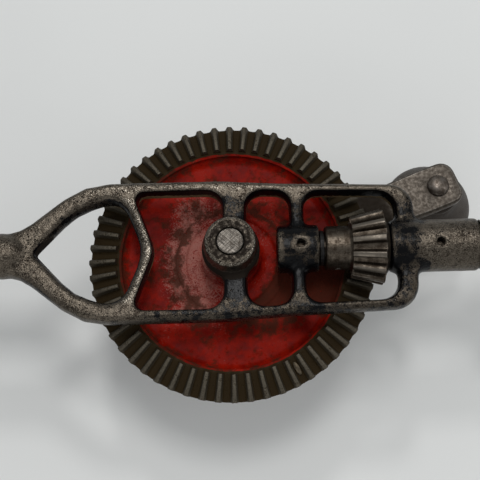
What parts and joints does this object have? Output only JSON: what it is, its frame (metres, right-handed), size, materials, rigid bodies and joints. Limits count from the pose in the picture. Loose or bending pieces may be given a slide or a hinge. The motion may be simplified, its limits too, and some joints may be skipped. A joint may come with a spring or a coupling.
{
  "type": "hand drill",
  "caption": "Hand drill with an open cast frame, a toothed bevel drive gear turned by a crank, a pinion on the spindle, a turned handle and a jawed chuck.",
  "frame": {"origin": "centre of the axle's visible end face, flush with the face of the frame's boss", "axes": "+X along the spindle towards the chuck, +Z along the gear's axle out of its visible end, +Y across the frame"},
  "size_m": [0.3413, 0.108, 0.0849],
  "materials": {
    "frame_iron": "black enamel worn down to dark cast iron",
    "red_enamel": "worn red enamel on the disc, bare brown steel on the teeth",
    "bright_steel": "turned, dull bright",
    "worn_steel": "worn satin",
    "blackened_steel": "oiled black",
    "pinion_steel": "oiled, worn bright on the teeth",
    "crank_steel": "satin grey brown",
    "knob_wood": "dark stain, handled smooth",
    "handle_wood": "stained hardwood, handled smooth"
  },
  "bodies": {
    "frame": {"frame": "frame_iron", "main_handle": "handle_wood", "handle_ferrule": "worn_steel", "handle_pin": "bright_steel", "gear_axle": "bright_steel", "gear_spacer": "worn_steel", "axle_washer": "worn_steel", "axle_screw": "worn_steel", "rear_thrust_washer": "blackened_steel", "nose_thrust_washer": "worn_steel"},
    "drive_gear": {"drive_gear": "red_enamel", "crank_arm": "crank_steel", "crank_screw_1": "worn_steel", "crank_screw_2": "worn_steel", "crank_screw_3": "worn_steel", "knob_rivet": "crank_steel"},
    "crank_knob": {"crank_knob": "knob_wood", "knob_washer": "worn_steel"},
    "spindle": {"spindle": "bright_steel", "pinion": "pinion_steel", "pinion_pin": "bright_steel", "chuck_body": "worn_steel"},
    "chuck_sleeve": {"chuck_sleeve": "worn_steel", "chuck_nut": "blackened_steel"},
    "jaw_1": {"jaw_1": "bright_steel"},
    "jaw_2": {"jaw_2": "bright_steel"},
    "jaw_3": {"jaw_3": "bright_steel"}
  },
  "joints": [
    {"name": "gear_spin", "type": "hinge", "parent": "frame", "child": "drive_gear", "pos_m": [0, 0, -0.0131], "axis": [0, 0, 1], "continuous": true},
    {"name": "knob_spin", "type": "hinge", "parent": "drive_gear", "child": "crank_knob", "pos_m": [0.08232, 0.03111, -0.04], "axis": [0, 0, 1], "continuous": true},
    {"name": "spindle_spin", "type": "hinge", "parent": "frame", "child": "spindle", "pos_m": [0, 0, -0.0131], "axis": [1, 0, 0], "continuous": true},
    {"name": "sleeve_turn", "type": "hinge", "parent": "spindle", "child": "chuck_sleeve", "pos_m": [0.112, 0, -0.0131], "axis": [1, 0, 0], "range_deg": [0, 2950]},
    {"name": "jaw_1_slide", "type": "slide", "parent": "spindle", "child": "jaw_1", "axis": [0.9659, 0, -0.2588], "range_m": [0, 0.0123]},
    {"name": "jaw_2_slide", "type": "slide", "parent": "spindle", "child": "jaw_2", "axis": [0.9659, 0.2241, 0.1294], "range_m": [0, 0.0123]},
    {"name": "jaw_3_slide", "type": "slide", "parent": "spindle", "child": "jaw_3", "axis": [0.9659, -0.2241, 0.1294], "range_m": [0, 0.0123]}
  ],
  "couplings": [
    {"joint": "spindle_spin", "follows": "gear_spin", "ratio": 4.3077},
    {"joint": "jaw_1_slide", "follows": "sleeve_turn", "m_per_rad": 0.00023873},
    {"joint": "jaw_2_slide", "follows": "sleeve_turn", "m_per_rad": 0.00023873},
    {"joint": "jaw_3_slide", "follows": "sleeve_turn", "m_per_rad": 0.00023873}
  ]
}
